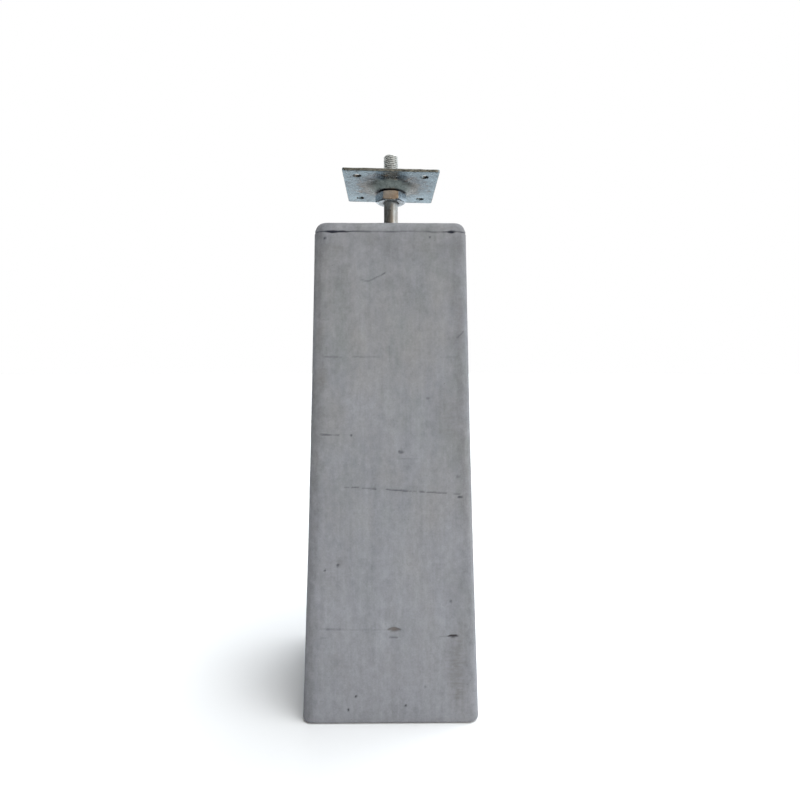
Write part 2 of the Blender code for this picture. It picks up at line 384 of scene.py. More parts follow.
def seam_voids(face):
    """The seam's dark stretches on one face, moved across on the three hidden in the photograph."""
    if face == 0:
        return FRONT_SEAM_VOIDS
    return [
        (-centre * 0.8 + 11 * (face - 2), width, height, dark * 0.9)
        for centre, width, height, dark in FRONT_SEAM_VOIDS[face:]
    ]


def side_heights():
    """Heights of the rows up the block's sides, closest where the faces have marks."""
    heights = np.linspace(FOOT_ROUNDING, SEAM_Z, 6000) / MM
    crowding = np.zeros_like(heights)
    levels = [(SEAM_Z / MM, 2.2)]
    for start, end, _, _, _ in FRONT_LINES + long_crack_lines():
        low, high = sorted((start[1], end[1]))
        levels += [(level, MARK_REACH) for level in np.arange(low, high + 1, 1.0)]
    levels += [(place[1], MARK_REACH + high) for place, _, high, _, _ in FRONT_PITS]
    levels += [(place[1] + 0.8, MARK_REACH + 2.6) for place, *_ in FRONT_VOIDS]
    for level, reach in levels:
        crowding = np.maximum(crowding, np.exp(-(((heights - level) / reach) ** 2)))
    travelled = np.cumsum(1 + ROW_CROWDING * crowding)
    share = (travelled - travelled[0]) / (travelled[-1] - travelled[0])
    return np.interp(np.linspace(0, 1, SIDE_ROWS), share, heights) * MM


def polygon_columns(flat_points, corner_points, fullness=2.0):
    """Places, for a half width of 1, and normals round a rounded polygon, one flat towards -Y.

    flat_points has each side's number of points. A fullness over 2 makes the corners squarer.
    """
    places, normals = [], []
    half_turn = math.pi / len(flat_points)
    for side, count in enumerate(flat_points):
        turn = Matrix.Rotation(2 * half_turn * side, 2)
        for number in range(count):
            along = 2 * number / count - 1
            places.append(turn @ Vector((math.tan(half_turn) * along, -1)))
            normals.append(turn @ Vector((0, -1)))
        for number in range(corner_points):
            angle = 2 * half_turn * number / corner_points
            along, deep = (part ** (2 / fullness) for part in (math.sin(angle), math.cos(angle)))
            places.append(turn @ Vector((math.tan(half_turn), -1)))
            normals.append(turn @ Vector((along, -deep)))
    return np.array(places), np.array(normals)


def block_half_width(height):
    """Half the block's width at a height. Its sides are slightly hollow."""
    half = BLOCK_FOOT_HALF + (BLOCK_HEAD_HALF - BLOCK_FOOT_HALF) * height / BLOCK_TOP
    return half - SIDE_HOLLOW * np.sin(np.pi * np.clip(height / BLOCK_TOP, 0, 1))


def block_rows():
    """(inset, height) of each row of points up the outside of the block."""
    rows = []
    for angle in np.linspace(0, math.pi / 2, 4)[:-1]:
        inset, height = 1 - math.sin(angle), 1 - math.cos(angle)
        rows.append((FOOT_ROUNDING * inset, FOOT_ROUNDING * height))
    rows += [(0.0, height) for height in side_heights()]
    close = np.linspace(0, SEAM_BEND, 13)[1:]
    wide = np.linspace(SEAM_BEND, math.pi / 2, 11)[1:]
    for angle in np.concatenate([close, wide]):
        inset, height = HEAD_INSET * (1 - math.cos(angle)), HEAD_ROUNDING * math.sin(angle)
        rows.append((inset, SEAM_Z + height))
    return rows


def block_grid():
    """Points of the plain block, row by row: up its outside, over its top, down into the socket."""
    columns = [FRONT_COLUMNS] + 3 * [SIDE_COLUMNS]
    places, normals = polygon_columns(columns, CORNER_COLUMNS, CORNER_FULLNESS)
    rows = []
    for inset, height in block_rows():
        half = block_half_width(height) - inset
        share = inset / HEAD_INSET if height > SEAM_Z else 0
        radius = BLOCK_CORNER_REACH + (HEAD_CORNER_REACH - BLOCK_CORNER_REACH) * share
        rows.append(level_row(places * (half - radius) + normals * radius, height))
    edge = rows[-1][:, :2]
    for share in np.linspace(0, 1, 15)[1:] ** 0.8:
        ring = blended_ring(edge, SOCKET_RADIUS, 1 - share)
        rows.append(level_row(ring, BLOCK_TOP))
    rows += [level_row(ring, height) for height in SOCKET_ROWS]
    return np.array(rows)


def face_marks(face, across, height):
    """Depth in millimetres, and the strength of painted shade, its brownness and stain, over one
    face.
    """
    depth, dark, brown, stain = (np.zeros_like(across) for _ in range(4))
    where = np.column_stack([across, height, np.full_like(across, 40.0 * face)])
    wobble = 0.45 * layered_noise(where, 7.0, 11)
    u = across + 0.8 * layered_noise(where, 4.0, 17)
    v = height + wobble
    marks = marks_of_face(face)
    patchy = np.clip(0.72 + 0.55 * layered_noise(where, 3.0, 23), 0.15, 1.0)
    for start, end, half, deep, dim in marks["lines"]:
        strength = line_strength(across, v, start, end, half)
        depth = np.maximum(depth, strength * deep)
        dark = np.maximum(dark, strength * dim * patchy)
    for place, half_width, half_height, deep, dim in marks["pits"]:
        strength = spot_strength(u, v, place, half_width, half_height)
        depth = np.maximum(depth, strength * deep)
        dark = np.maximum(dark, strength * dim)
    level = height + wobble * 0.5
    for place, half_width, above, below, deep, dim, brownness in marks["voids"]:
        half_height = np.where(height > place[1], above, below)
        strength = spot_strength(across, level, place, half_width, half_height, 0.22, 1.2)
        depth = np.maximum(depth, strength * deep)
        dark = np.maximum(dark, strength * dim)
        brown = np.maximum(brown, strength * brownness)
    ragged = 1 + 0.30 * layered_noise(where, (9.0, 16.0, 9.0), 31)
    for place, half_width, half_height, amount in marks["stains"]:
        reach = half_width * ragged, half_height * ragged
        strength = spot_strength(across, height, place, *reach, 0.75)
        stain = np.maximum(stain, strength * amount)
    seam = SEAM_GROOVE_Z / MM + 0.35 * layered_noise(where * (1, 0, 1), 24.0, 43)
    groove = 1 - smoothstep(0.3, 1.3, np.abs(v - seam))
    breaks = smoothstep(-0.5, 0.5, lattice_noise(where * (1, 0, 1), 13.0, 41))
    depth = np.maximum(depth, groove * (0.25 + 0.20 * breaks))
    dark = np.maximum(dark, groove * (0.20 + 0.28 * breaks))
    for centre, half_width, half_height, dim in seam_voids(face):
        strength = spot_strength(u, v, (centre, seam), half_width, half_height, 0.35, 1.35)
        depth = np.maximum(depth, strength * 1.3 * min(half_height, 1.2))
        dark = np.maximum(dark, strength * dim)
    return depth, dark, brown, stain


def make_block(material):
    """The tapered block with its seam, cracks, blowholes and unevenness. All of them go inward."""
    grid = block_grid()
    rows, columns, _ = grid.shape
    points = grid.reshape(-1, 3) / MM
    normals = grid_normals(grid).reshape(-1, 3)
    depth, dark, brown, stain = (np.zeros(len(points)) for _ in range(4))
    outside = points[:, 2] < BLOCK_TOP / MM - 2
    outside &= np.abs(points[:, :2]).max(axis=1) > 20
    for face in range(4):
        turn = face * math.pi / 2
        facing = normals[:, 0] * math.sin(turn) - normals[:, 1] * math.cos(turn)
        picked = np.flatnonzero(outside & (facing > FACE_FADE[0]))
        across = points[picked, 0] * math.cos(turn) + points[picked, 1] * math.sin(turn)
        found = face_marks(face, across, points[picked, 2])
        fade = smoothstep(*FACE_FADE, facing[picked])
        for total, part in zip((depth, dark, brown, stain), found):
            total[picked] = np.maximum(total[picked], part * fade)
    skin = smoothstep(0, 6, points[:, 2]) * (np.abs(points[:, :2]).max(axis=1) > 12)
    uneven = 0.20 + 0.12 * layered_noise(points, 34.0, 3) + 0.08 * layered_noise(points, 9.0, 5)
    head = smoothstep(SEAM_Z / MM, SEAM_Z / MM + 6, points[:, 2])
    uneven += head * (0.20 + 0.20 * layered_noise(points, 15.0, 7))
    points = points - normals * ((depth + np.clip(uneven, 0.0, None)) * skin)[:, None]
    block = mesh_object("block_cast", points * MM, capped_faces(rows, columns), material)
    block.data.set_sharp_from_angle(angle=math.radians(50))
    # Painted shade in the cracks, blowholes, voids and seam, and how brown it is in the voids
    for name, values in (("cavity_shade", dark), ("void_brown", brown), ("stain", stain)):
        store(block, name, values)
    return block


# Rod, nut and plate


def turned_grid(radii, heights, columns):
    """Rows of points at (row, column) radii and heights round the Z axis."""
    angles = np.arange(columns) / columns * 2 * math.pi
    radii = np.broadcast_to(radii, (len(radii), columns))
    heights = np.broadcast_to(heights, (len(heights), columns))
    return np.stack([radii * np.sin(angles), -radii * np.cos(angles), heights], axis=2)


def make_rod(material):
    """The cast-in rod: a plain shank, and a rolled thread that runs out just under the nut."""
    shank = np.linspace(ROD_LOW.z, THREAD_START, SHANK_ROWS)
    thread = np.linspace(THREAD_START, ROD_HIGH.z, THREAD_ROWS)[1:]
    heights = np.concatenate([shank, thread])
    angles = np.arange(ROD_COLUMNS) / ROD_COLUMNS
    turn = (heights[:, None] / THREAD_PITCH - angles[None, :]) % 1
    groove = np.clip((np.abs(turn - 0.5) * 2 - THREAD_CREST) / THREAD_FLANK, 0, 1)
    fade = smoothstep(THREAD_START, THREAD_START + THREAD_RUNOUT, heights)[:, None]
    radii = THREAD_RADIUS - THREAD_DEPTH * groove
    radii = SHANK_RADIUS + (radii - SHANK_RADIUS) * fade
    chamfer = THREAD_RADIUS - ROD_CHAMFER + (ROD_HIGH.z - heights)[:, None]
    grid = turned_grid(np.minimum(radii, chamfer), heights[:, None], ROD_COLUMNS)
    points = grid.reshape(-1, 3)
    worn = 0.5 + 0.5 * layered_noise(points / MM, (6.0, 6.0, 3.0), 51)
    normals = points * (1, 1, 0) / np.linalg.norm(points[:, :2], axis=1, keepdims=True)
    points = points - normals * (ROD_WEAR * worn)[:, None]
    rod = mesh_object("rod_threaded", points, capped_faces(len(heights), ROD_COLUMNS), material)
    rod.data.set_sharp_from_angle(angle=math.radians(60))
    # Painted shade in the thread's roots, and a painted shadow band just under where the nut rests
    thread_shade = smoothstep(0.60, 1.0, groove * fade)
    under_nut_shadow = smoothstep(NUT_LOW.z - 4 * MM, NUT_LOW.z - 1 * MM, heights)
    under_nut_shadow *= 1 - smoothstep(NUT_LOW.z + 1 * MM, NUT_LOW.z + 4 * MM, heights)
    store(rod, "thread_shade", np.maximum(thread_shade, UNDER_NUT_SHADOW_STRENGTH * under_nut_shadow[:, None]))
    return rod


def make_nut(material):
    """A cold-formed hexagon nut: chamfers that cut arcs into its flats, and a threaded bore."""
    places, normals = polygon_columns(6 * [12], 6)
    outline = places * (NUT_HALF_FLATS - NUT_CORNER_RADIUS) + normals * NUT_CORNER_RADIUS
    cosine, sine = math.cos(NUT_TURN), math.sin(NUT_TURN)
    outline = outline @ np.array([[cosine, sine], [-sine, cosine]])
    reach = np.linalg.norm(outline, axis=1)
    ways = outline / reach[:, None]
    land = NUT_LAND_RADIUS
    drop = np.maximum(reach - land, 0.15 * MM) * math.tan(NUT_CHAMFER_ANGLE)
    half = (NUT_HIGH.z - NUT_LOW.z) / 2
    ones = np.ones(len(reach))
    lower = [(ones * (NUT_BORE_RADIUS + NUT_MOUTH), -half * ones)]
    lower += [(ones * (land - 0.4 * MM), -half * ones), (ones * land, -half * ones + 0.04 * MM)]
    for share in (0.25, 0.5, 0.8, 1.0):
        lower.append((land + (reach - land) * share, -half + drop * share))
    lower.append((reach, -half + drop + (2 * half - 2 * drop) * 0.06))
    upper = [(radius, -height) for radius, height in reversed(lower)]
    profile = lower + [(reach, 0 * ones)] + upper
    angles = np.arctan2(ways[:, 0], -ways[:, 1]) / (2 * math.pi)
    for height in np.linspace(NUT_MOUTH - half, half - NUT_MOUTH, 61)[::-1]:
        turn = (height / THREAD_PITCH - angles) % 1
        groove = np.clip((0.5 - np.abs(turn - 0.5)) * 2, 0, 1) * NUT_GROOVE
        profile.append((NUT_BORE_RADIUS + groove, height * ones))
    rows = [
        np.column_stack([ways * radius[:, None], height + NUT_CENTRE_Z])
        for radius, height in profile
    ]
    grid = np.array(rows)
    faces = grid_faces(len(rows), len(ways), True)
    nut = mesh_object("nut_hexagon", grid.reshape(-1, 3), faces, material)
    nut.data.set_sharp_from_angle(angle=math.radians(28))
    heights, reach = grid[:, :, 2], np.linalg.norm(grid[:, :, :2], axis=2)
    # Painted shade on the nut's top chamfer and face, where it meets the dish, and in its bore's
    # mouth
    top = smoothstep(NUT_HIGH.z - 0.9 * MM, NUT_HIGH.z - 0.5 * MM, heights)
    mouth = 1 - smoothstep(NUT_BORE_RADIUS + NUT_MOUTH, NUT_BORE_RADIUS + 2.6 * MM, reach)
    store(nut, "top_and_mouth_shade", np.maximum(top, mouth * 0.8))
    return nut


def arc_profile(centre, radius, start, end, count):
    """Points on an arc in the (radius, height) plane, from one angle in radians to another."""
    return [
        (centre[0] + radius * math.cos(angle), centre[1] + radius * math.sin(angle))
        for angle in np.linspace(start, end, count)
    ]


def dish_profile(foot, rim, level):
    """(radius, height) points of one side of the pressed dish, from its flat out to the plate.

    foot and rim are the radii of the two bends on this side of the sheet, and level is the
    height of this side's flat bottom.
    """
    top = level + BOSS_DEPTH
    slope = BOSS_WALL_ANGLE
    centre = (BOSS_FLAT_RADIUS, level + foot)
    bottom = arc_profile(centre, foot, -math.pi / 2, slope - math.pi / 2, 8)
    wall_foot = bottom[-1]
    rise = rim * (1 - math.cos(slope))
    run = (top - rise - wall_foot[1]) / math.tan(slope)
    bend_start = (wall_foot[0] + run, top - rise)
    centre = (bend_start[0] + rim * math.sin(slope), top - rim)
    upper = arc_profile(centre, rim, math.pi / 2 + slope, math.pi / 2, 14)
    return bottom + upper


def make_plate(material):
    """The sheared and pressed plate: a dish with a hole in it, rolled edges, four punched holes."""
    places, normals = polygon_columns(4 * [92], 8)
    flat = PLATE_LOW.z + PLATE_THICKNESS
    under = dish_profile(BOSS_FOOT_FILLET + PLATE_THICKNESS, BOSS_RIM_FILLET, PLATE_LOW.z)
    over = dish_profile(BOSS_FOOT_FILLET, BOSS_RIM_FILLET + PLATE_THICKNESS, flat)
    low = PLATE_TOP - PLATE_THICKNESS
    edge = PLATE_EDGE_ROUNDING
    hole = ROD_HOLE_RADIUS

    def square(inset):
        """The plate's outline, drawn in by inset."""
        corner = PLATE_CORNER_RADIUS
        return places * (PLATE_HALF - inset - corner) + normals * corner

    def circle_rows(profile):
        """Round rows of points at each (radius, height)."""
        return [level_row(blended_ring(square(0), r, 0), height) for r, height in profile]

    def flat_rows(radius, height, shares):
        """Rows from a circle out to the outline."""
        return [level_row(blended_ring(square(edge), radius, share), height) for share in shares]

    quarter = np.linspace(0, math.pi / 2, 5)
    rows = circle_rows([(hole + 0.25 * MM, PLATE_LOW.z), (BOSS_INNER_RADIUS, PLATE_LOW.z)] + under)
    rows += flat_rows(under[-1][0], low, PLATE_SPREAD)
    for angle in quarter:
        inset, rise = edge * (1 - math.sin(angle)), edge * (1 - math.cos(angle))
        rows.append(level_row(square(inset), low + rise))
    rows.append(level_row(square(0.03 * MM), low + PLATE_THICKNESS * 0.55))
    for angle in quarter:
        inset, drop = edge * (1 - math.cos(angle)), edge * (1 - math.sin(angle))
        rows.append(level_row(square(inset), PLATE_TOP - drop))
    rows += flat_rows(over[-1][0], PLATE_TOP, PLATE_SPREAD[::-1])
    rows += circle_rows(over[::-1])
    rows += circle_rows([(BOSS_INNER_RADIUS, flat), (hole + 0.3 * MM, flat)])
    rows += circle_rows([(hole, flat - 0.3 * MM), (hole, PLATE_LOW.z + 0.25 * MM)])
    points = np.concatenate(rows)
    rim = smoothstep(PLATE_HALF - 2 * edge, PLATE_HALF, np.abs(points[:, :2]).max(axis=1))
    ragged = rim * (0.22 + 0.22 * layered_noise(points / MM, (4.0, 4.0, 2.5), 61)) * MM
    upper = smoothstep(PLATE_TOP - 1.2 * MM, PLATE_TOP, points[:, 2])
    torn = np.clip(0.35 + 0.6 * layered_noise(points / MM, 6.0, 67), 0, 1)
    burr = rim * upper * torn * MM
    outward = np.tile(normals, (len(rows), 1))
    points = points - np.column_stack([outward * ragged[:, None], burr])
    faces = grid_faces(len(rows), len(places), True)
    plate = mesh_object("plate_pressed", points, faces, material)
    for x, y in itertools.product((-SCREW_HOLE_OFFSET, SCREW_HOLE_OFFSET), repeat=2):
        punch_hole(plate, x, y)
    centre = Matrix.Translation((0, 0, PLATE_LOW.z))
    lean = Matrix.Rotation(PLATE_TILT, 4, "Y") @ Matrix.Rotation(PLATE_YAW, 4, "Z")
    shift = Matrix.Translation((PLATE_SHIFT, 0, 0))
    plate.data.transform(shift @ centre @ lean @ centre.inverted())
    plate.data.set_sharp_from_angle(angle=math.radians(32))
    return plate


def punch_hole(plate, x, y):
    """Cuts one screw hole, its upper edge drawn in and its lower edge crisp, as from a punch."""
    low = PLATE_TOP - PLATE_THICKNESS
    radius, roll = SCREW_HOLE_RADIUS, SCREW_HOLE_ROLL
    wide = radius + 0.10 * MM
    profile = [(wide, low - CUTTER_REACH), (wide, low), (radius, low + 0.1 * MM)]
    for angle in np.linspace(0, math.pi / 2, 5):
        away, drop = roll * (1 - math.cos(angle)), roll * (1 - math.sin(angle))
        profile.append((radius + away, PLATE_TOP - drop))
    profile.append((radius + roll, PLATE_TOP + CUTTER_REACH))
    radii, heights = np.array(profile).T[:, :, None]
    points = turned_grid(radii, heights, SCREW_HOLE_COLUMNS).reshape(-1, 3) + (x, y, 0)
    faces = capped_faces(len(profile), SCREW_HOLE_COLUMNS)
    cutter = mesh_object("cutter", points, faces, plate.data.materials[0])
    cut = plate.modifiers.new("cut", "BOOLEAN")
    cut.operation = "DIFFERENCE"
    cut.solver = "EXACT"
    cut.object = cutter
    evaluated = plate.evaluated_get(bpy.context.evaluated_depsgraph_get())
    shape = bpy.data.meshes.new_from_object(evaluated)
    plate.modifiers.clear()
    old = plate.data
    plate.data = shape
    bpy.data.meshes.remove(old)
    mesh = cutter.data
    bpy.data.objects.remove(cutter)
    bpy.data.meshes.remove(mesh)


# Materials

SPAN_SOCKETS = ("From Min", "From Max", "To Min", "To Max")
BUMP_STRENGTH = 0.8


class Graph:
    """The nodes of a material or of the world, added with one short call each."""

    def __init__(self, tree, coords):
        self.nodes = tree.nodes
        self.links = tree.links
        self.coords = self.nodes.new("ShaderNodeTexCoord").outputs[coords]

    def put(self, socket, value):
        """Links a socket's value in, or sets a plain number or colour."""
        if isinstance(value, bpy.types.NodeSocket):
            self.links.new(value, socket)
        elif isinstance(value, tuple) and len(value) == 3 and socket.type == "RGBA":
            socket.default_value = (*value, 1)
        else:
            socket.default_value = value

    def axis(self, name):
        node = self.nodes.new("ShaderNodeSeparateXYZ")
        self.put(node.inputs[0], self.coords)
        return node.outputs[name]

    def span(self, value, low, high, to_low=0.0, to_high=1.0, kind="LINEAR"):
        """Carries low..high of a value over to to_low..to_high, and holds the ends outside it."""
        node = self.nodes.new("ShaderNodeMapRange")
        node.interpolation_type = kind
        self.put(node.inputs["Value"], value)
        for socket, number in zip(SPAN_SOCKETS, (low, high, to_low, to_high)):
            node.inputs[socket].default_value = number
        return node.outputs["Result"]

    def calc(self, operation, first, second=0.0):
        node = self.nodes.new("ShaderNodeMath")
        node.operation = operation
        self.put(node.inputs[0], first)
        self.put(node.inputs[1], second)
        return node.outputs[0]

    def times(self, first, second):
        return self.calc("MULTIPLY", first, second)

    def length(self, first, second):
        """The length of a way with these two parts at right angles."""
        squares = [self.times(part, part) for part in (first, second)]
        return self.calc("SQRT", self.calc("ADD", *squares))

    def band(self, value, rise, fall):
        """1 between two stretches of a value, in which it comes in and goes."""
        return self.times(self.span(value, *rise), self.span(value, *fall, 1.0, 0.0))

    def mix(self, first, second, share, mode="MIX"):
        node = self.nodes.new("ShaderNodeMix")
        node.data_type = "RGBA"
        node.blend_type = mode
        for number, value in ((0, share), (6, first), (7, second)):
            self.put(node.inputs[number], value)
        return node.outputs[2]


class Shader(Graph):
    """A material with one surface."""

    def __init__(self, name, **surface):
        self.material = bpy.data.materials.new(name)
        self.material.use_nodes = True
        self.material.node_tree.nodes.clear()
        super().__init__(self.material.node_tree, "Object")
        output = self.nodes.new("ShaderNodeOutputMaterial")
        self.surface = self.nodes.new("ShaderNodeBsdfPrincipled")
        self.put(output.inputs["Surface"], self.surface.outputs["BSDF"])
        self.feed(**surface)

    def feed(self, **values):
        """Links or sets the surface's own sockets."""
        for socket, value in values.items():
            self.put(self.surface.inputs[socket.replace("_", " ")], value)

    def noise(
        self, scale, detail=3.0, roughness=0.55, stretch=(1, 1, 1), seed=0.0, distortion=0.0
    ):
        """Smooth noise from 0 to 1, with scale lumps a metre, times stretch on each axis."""
        mapping = self.nodes.new("ShaderNodeMapping")
        mapping.inputs["Scale"].default_value = stretch
        mapping.inputs["Location"].default_value = (seed, seed * 1.7, -seed)
        self.put(mapping.inputs["Vector"], self.coords)
        noise = self.nodes.new("ShaderNodeTexNoise")
        self.put(noise.inputs["Vector"], mapping.outputs["Vector"])
        noise.inputs["Scale"].default_value = scale
        noise.inputs["Detail"].default_value = detail
        noise.inputs["Roughness"].default_value = roughness
        noise.inputs["Distortion"].default_value = distortion
        return noise.outputs["Fac"]

    def cells(self, scale):
        """The distance to the nearest of scattered points."""
        cells = self.nodes.new("ShaderNodeTexVoronoi")
        self.put(cells.inputs["Vector"], self.coords)
        cells.inputs["Scale"].default_value = scale
        return cells.outputs["Distance"]

    def stored(self, name):
        """The numbers that a piece keeps at its points."""
        node = self.nodes.new("ShaderNodeAttribute")
        node.attribute_name = name
        return node.outputs["Fac"]

    def bump(self, height, distance, strength):
        node = self.nodes.new("ShaderNodeBump")
        node.inputs["Distance"].default_value = distance
        node.inputs["Strength"].default_value = strength
        self.put(node.inputs["Height"], height)
        return node.outputs["Normal"]


# Linear colours of the concrete
CEMENT_DARK = (0.256, 0.262, 0.280)
CEMENT_LIGHT = (0.298, 0.303, 0.328)
CEMENT_WARM = (0.278, 0.270, 0.262)
CEMENT_GREEN = (0.232, 0.246, 0.244)
CEMENT_BLOOM = (0.345, 0.350, 0.365)
CEMENT_HEAD = (0.235, 0.236, 0.242)
CEMENT_FOOT = (0.310, 0.318, 0.350)
CONCRETE_STAIN = (0.150, 0.140, 0.132)
# Painted shade in the pinholes
PINHOLE_SHADE = (0.090, 0.090, 0.100)
# Painted shade in the cracks, blowholes, voids and seam, and its browner tone
CAVITY_SHADE = (0.014, 0.017, 0.030)
CAVITY_SHADE_BROWN = (0.120, 0.092, 0.072)
# Heights in metres over which the head's and the foot's tones and the head's patches come in
HEAD_FADE = (0.40, 0.49)
FOOT_FADE = (0.02, 0.30)
PATCHES_FADE = (0.38, 0.48)
# Painted shade beside each upright rounded edge: distances from the edge where it comes in and goes
EDGE_SHADE_IN = (-1 * MM, 6 * MM)
EDGE_SHADE_OUT = (7 * MM, 19 * MM)
EDGE_SHADE_STRENGTH = 0.16


def concrete_material():
    """Smooth grey precast concrete: clouds of cement, streaks up the mould, grain, pinholes, and
    painted shade in its marks and beside its upright edges.
    """
    look = Shader("concrete_cast", Specular_IOR_Level=0.25)
    broad = look.span(look.noise(11, 4, 0.6, seed=3.1), 0.32, 0.68)
    grey = look.mix(CEMENT_DARK, CEMENT_LIGHT, broad)
    warm = look.span(look.noise(24, 4, 0.6, (1, 1, 0.45), seed=7.7), 0.42, 0.70)
    grey = look.mix(grey, CEMENT_WARM, look.times(warm, 0.60))
    green = look.span(look.noise(38, 4, 0.62, (1, 1, 0.55), seed=12.7), 0.48, 0.72)
    grey = look.mix(grey, CEMENT_GREEN, look.times(green, 0.55))
    bloom = look.span(look.noise(52, 5, 0.65, (1, 1, 0.40), seed=1.9), 0.52, 0.74)
    grey = look.mix(grey, CEMENT_BLOOM, look.times(bloom, 0.40))
    height = look.axis("Z")
    grey = look.mix(grey, CEMENT_HEAD, look.times(look.span(height, *HEAD_FADE), 0.30))
    grey = look.mix(grey, CEMENT_FOOT, look.times(look.span(height, *FOOT_FADE, 1.0, 0.0), 0.55))
    broad_streaks = look.noise(1, 3, 0.6, (95, 95, 9), seed=15.3)
    streaks = look.noise(1, 3, 0.6, (330, 330, 14), seed=5.3)
    blots = look.noise(190, 3, 0.6, (1, 1, 0.7), seed=9.9)
    fine = look.noise(620, 3, 0.65, seed=2.2)
    grain = look.noise(2400, 2, 0.7, seed=8.2)
    shade = look.span(broad_streaks, 0.28, 0.72, 0.875, 0.995)
    for value, amount in ((streaks, 0.035), (blots, 0.090), (fine, 0.070), (grain, 0.040)):
        shade = look.calc("ADD", shade, look.span(value, 0.28, 0.72, -amount, amount))
    patches = look.span(look.noise(60, 4, 0.65, seed=31.0), 0.34, 0.66, -0.10, 0.08)
    patches = look.times(patches, look.span(height, *PATCHES_FADE, 0.3, 1.0))
    shade = look.calc("ADD", shade, patches)
    # Painted shade: a darker band beside each upright edge, where the rounded corners turn away
    # from the light
    sides = [look.calc("ABSOLUTE", look.axis(name)) for name in "XY"]
    apart = look.calc("ABSOLUTE", look.calc("SUBTRACT", *sides))
    wander = look.span(look.noise(45, 3, 0.6, seed=17.0), 0.3, 0.7, -3 * MM, 3 * MM)
    apart = look.calc("ADD", apart, wander)
    band = look.span(apart, *EDGE_SHADE_IN, 0.6, 1.0)
    band = look.times(band, look.span(apart, *EDGE_SHADE_OUT, 1.0, 0.0))
    shade = look.calc("SUBTRACT", shade, look.times(band, EDGE_SHADE_STRENGTH))
    colour = look.mix(grey, shade, 1.0, "MULTIPLY")
    # Pinholes: small dots of painted shade, also pressed in by the bump
    sparse = look.span(look.noise(70, 2, seed=4.4), 0.58, 0.66)
    pinholes = look.times(look.span(look.cells(240), 0.05, 0.12, 1.0, 0.0), sparse)
    colour = look.mix(colour, PINHOLE_SHADE, look.times(pinholes, 0.70))
    ripples = look.span(look.noise(1, 3, 0.6, (120, 120, 420), seed=3.7), 0.30, 0.66, 0.25, 1.0)
    colour = look.mix(colour, CONCRETE_STAIN, look.times(look.stored("stain"), ripples))
    # Painted shade in the cracks, blowholes, voids and seam, browner in some voids
    deep = look.mix(CAVITY_SHADE, CAVITY_SHADE_BROWN, look.stored("void_brown"))
    colour = look.mix(colour, deep, look.stored("cavity_shade"))
    look.feed(Base_Color=colour, Roughness=look.span(look.noise(160, 3), 0.3, 0.7, 0.72, 0.92))
    relief = look.calc("ADD", look.times(streaks, 0.4), look.times(fine, 0.7))
    relief = look.calc("SUBTRACT", relief, pinholes)
    look.feed(Normal=look.bump(relief, 0.16 * MM, BUMP_STRENGTH))
    return look.material


def zinc(name, light, dark, roughness, scale=60.0):
    """Zinc plated steel: a clouded coat with duller patches, fine scratches, a slight unevenness.

    Returns the shader, the coat's colour and where it is dull.
    """
    look = Shader(name)
    cloud = look.span(look.noise(scale, 5, 0.62, distortion=0.4, seed=2.5), 0.36, 0.66)
    colour = look.mix(dark, light, cloud)
    drift = look.noise(scale * 4.5, 4, 0.6, seed=6.5)
    colour = look.mix(colour, light, look.span(drift, 0.50, 0.75, 0.0, 0.55))
    dull = look.span(look.noise(scale * 1.7, 4, 0.6, seed=9.1), 0.56, 0.72)
    matt = look.span(drift, 0.3, 0.7, roughness - 0.07, roughness + 0.07)
    look.feed(Roughness=look.calc("ADD", matt, look.times(dull, 0.14)))
    fine = look.noise(1500, 2, 0.6, seed=1.2)
    relief = look.calc("ADD", fine, look.times(cloud, 0.5))
    look.feed(Normal=look.bump(relief, 0.05 * MM, BUMP_STRENGTH))
    return look, colour, dull


# Linear colours of the plate
PLATE_ZINC = ((0.205, 0.290, 0.340), (0.105, 0.150, 0.182))
PLATE_SCUFF = (0.270, 0.355, 0.400)
PLATE_SPECK = (0.070, 0.078, 0.082)
PLATE_DULL = (0.085, 0.095, 0.105)
# Painted light and shade: reflections round the dish, shade in the gap by the nut and in the screw
# holes
PLATE_DARK_REFLECTION = (0.045, 0.058, 0.072)
PLATE_LIGHT_REFLECTION = ((0.195, 0.225, 0.210), (0.300, 0.345, 0.325))
PLATE_SIDE_REFLECTION = (0.050, 0.053, 0.048)
PLATE_RIM_REFLECTION = (0.070, 0.066, 0.056)
PLATE_GAP_SHADE = (0.012, 0.012, 0.013)
PLATE_BROWN_REFLECTION = (0.110, 0.075, 0.050)
PLATE_HOLE_SHADE = (0.060, 0.045, 0.032)
PLATE_TORN = ((0.022, 0.026, 0.022), (0.23, 0.215, 0.175))
# Radii round the plate's middle where its painted reflections and painted gap shade come in and go
DARK_REFLECTION_IN, DARK_REFLECTION_OUT = (25 * MM, 30 * MM), (38 * MM, 48 * MM)
RIM_REFLECTION_IN, RIM_REFLECTION_OUT = (21 * MM, 25 * MM), (31 * MM, 37 * MM)
LIGHT_REFLECTION_OUT = (26 * MM, 31 * MM)
GAP_SHADE_OUT = (17.2 * MM, 18.8 * MM)
# Distances across and front to back over which the wear and the painted reflections change
WORN_ACROSS = (-50 * MM, 10 * MM)
DARK_REFLECTION_DEEP = (-30 * MM, 20 * MM)
SIDEWAYS = (10 * MM, 26 * MM)


